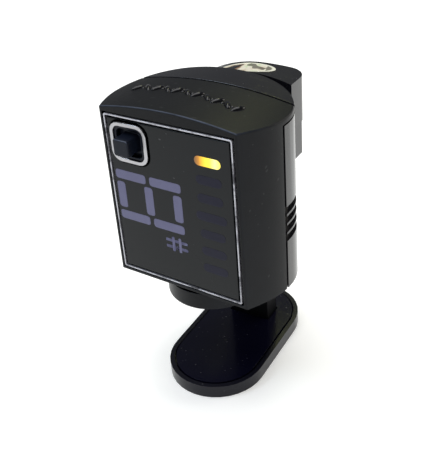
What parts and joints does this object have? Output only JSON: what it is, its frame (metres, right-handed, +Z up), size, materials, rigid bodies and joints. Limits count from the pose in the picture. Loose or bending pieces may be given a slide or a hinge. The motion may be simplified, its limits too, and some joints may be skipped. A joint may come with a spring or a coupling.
{
  "type": "clip-on instrument tuner",
  "caption": "Pocket tuner whose upright display head swivels on a sprung sliding clip, with a press button, sideways note digit, meter bars, thumb block and padded stadium jaw.",
  "frame": {"origin": "on the display's swivel axis, at the lower jaw's flat underside", "axes": "+Z up from the lower jaw to the head, +Y back from the display face, +X to the right of someone facing the display"},
  "size_m": [0.0358, 0.0383, 0.0619],
  "materials": {
    "housing": "fine moulded grain, dark charcoal",
    "cover": "semi-gloss black",
    "window": "smoked acrylic, polished",
    "trim": "thin silver outline, worn",
    "ring": "polished",
    "button": "blue-black moulded",
    "guide": "black moulded",
    "segment": "milky violet-grey diffuser",
    "lit_bar": "lit yellow diffuser",
    "dim_bar": "unlit diffuser",
    "board": "green solder mask",
    "chip": "black epoxy",
    "led": "pale encapsulant",
    "steel": "nickel-plated",
    "brass": "plain",
    "jaw": "polished black",
    "rubber": "smooth dark",
    "foil": "iridescent foil"
  },
  "bodies": {
    "clip": {"lower_jaw": "jaw", "lower_jaw_pad": "rubber", "clip_post": "housing", "press_block": "cover", "foil_label": "foil", "jaw_screw_1": "steel", "jaw_screw_2": "steel", "clip_spring": "steel"},
    "carriage": {"upper_jaw": "housing", "upper_jaw_pad": "rubber", "piezo_disc": "brass", "swivel_screw": "steel", "swivel_washer": "steel", "swivel_nut": "steel"},
    "head": {"front_housing": "housing", "window_trim": "trim", "display_window": "window", "button_ring": "ring", "light_guide_frame": "guide", "sharp_sign": "segment", "circuit_board": "board", "tact_switch": "chip", "controller_chip": "chip", "coin_cell": "steel", "battery_holder": "guide", "contact_negative": "brass", "contact_positive": "brass", "board_screw_1": "steel", "board_screw_2": "steel", "digit_segment_1": "segment", "digit_segment_2": "segment", "digit_segment_3": "segment", "digit_segment_4": "segment", "digit_segment_5": "segment", "digit_segment_6": "segment", "digit_segment_7": "segment", "meter_bar_1": "lit_bar", "meter_bar_2": "dim_bar", "meter_bar_3": "dim_bar", "meter_bar_4": "dim_bar", "meter_bar_5": "dim_bar", "meter_bar_6": "dim_bar", "meter_bar_7": "dim_bar", "led_1": "led", "led_2": "led", "led_3": "led", "led_4": "led", "led_5": "led", "led_6": "led", "led_7": "led"},
    "button": {"power_button": "button"},
    "cover": {"rear_cover": "cover"}
  },
  "joints": [
    {"name": "clip_open", "type": "slide", "parent": "clip", "child": "carriage", "axis": [0, 0, 1], "range_m": [0, 0.012], "stiffness_N_per_m": 500, "springref_m": -0.012, "deforming": ["clip_spring"]},
    {"name": "display_swivel", "type": "hinge", "parent": "carriage", "child": "head", "pos_m": [0, 0, 0.0254], "axis": [0, 0, 1], "range_deg": [-4, 18]},
    {"name": "button_press", "type": "slide", "parent": "head", "child": "button", "axis": [0, 1, 0], "range_m": [0, 0.0006], "stiffness_N_per_m": 600, "springref_m": -0.0006},
    {"name": "cover_slide", "type": "slide", "parent": "head", "child": "cover", "axis": [0, 0, -1], "range_m": [0, 0.003]}
  ]
}
